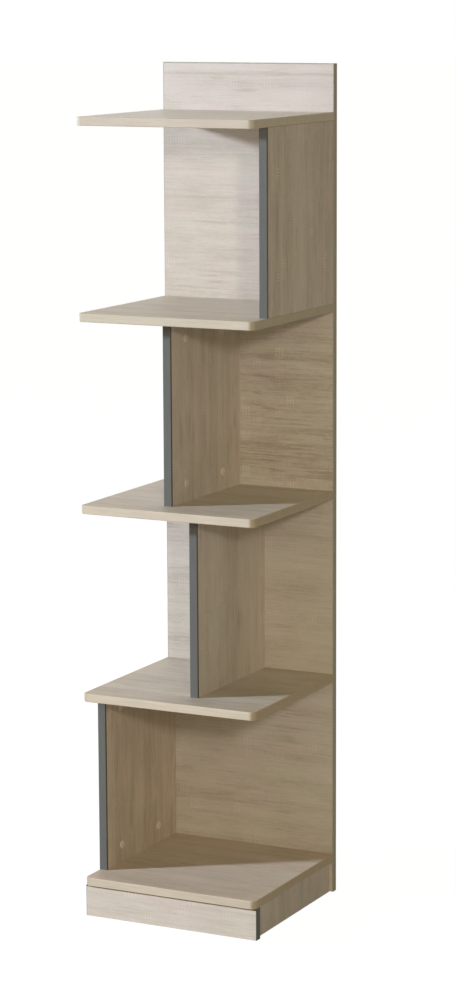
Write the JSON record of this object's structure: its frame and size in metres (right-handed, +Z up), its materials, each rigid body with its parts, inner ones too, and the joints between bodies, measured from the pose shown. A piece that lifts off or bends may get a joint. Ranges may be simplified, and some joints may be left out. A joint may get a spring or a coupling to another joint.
{
  "type": "open bookshelf",
  "caption": "Tall narrow open bookshelf: full-height back panel, plinth, square shelves with rounded front corners and dividers that step sideways from level to level.",
  "frame": {"origin": "centre of the footprint on the floor", "axes": "+Z up, +Y to the rear (the back panel's side), +X to the right seen from the front"},
  "size_m": [0.402, 0.4, 1.785],
  "materials": {
    "oak_decor": "satin sawn-oak laminate on chipboard",
    "oak_band": "satin edge band in the oak decor",
    "grey_band": "satin dark grey edge band",
    "cap_plastic": "satin light beige",
    "zinc": "die-cast zinc",
    "steel": "zinc-plated",
    "beech": "raw fluted beech"
  },
  "bodies": {
    "root": {"back_panel": "oak_decor", "shelf_base": "oak_decor", "shelf_1": "oak_decor", "shelf_2": "oak_decor", "shelf_3": "oak_decor", "shelf_4": "oak_decor", "divider_1": "oak_decor", "divider_2": "oak_decor", "divider_3": "oak_decor", "divider_4": "oak_decor", "plinth_front": "oak_decor", "plinth_side_left": "oak_decor", "plinth_side_right": "oak_decor", "plinth_front_band_left": "grey_band", "plinth_front_band_right": "grey_band", "divider_1_band": "grey_band", "divider_2_band": "grey_band", "divider_3_band": "grey_band", "divider_4_band": "grey_band", "back_band_left": "oak_band", "back_band_right": "oak_band", "back_band_top": "oak_band", "shelf_base_band": "oak_band", "shelf_1_band": "oak_band", "shelf_2_band": "oak_band", "shelf_3_band": "oak_band", "shelf_4_band": "oak_band", "cam_locks": "zinc", "cam_bolts": "steel", "back_screws": "steel", "cam_caps": "cap_plastic", "dowels": "beech"}
  },
  "joints": []
}
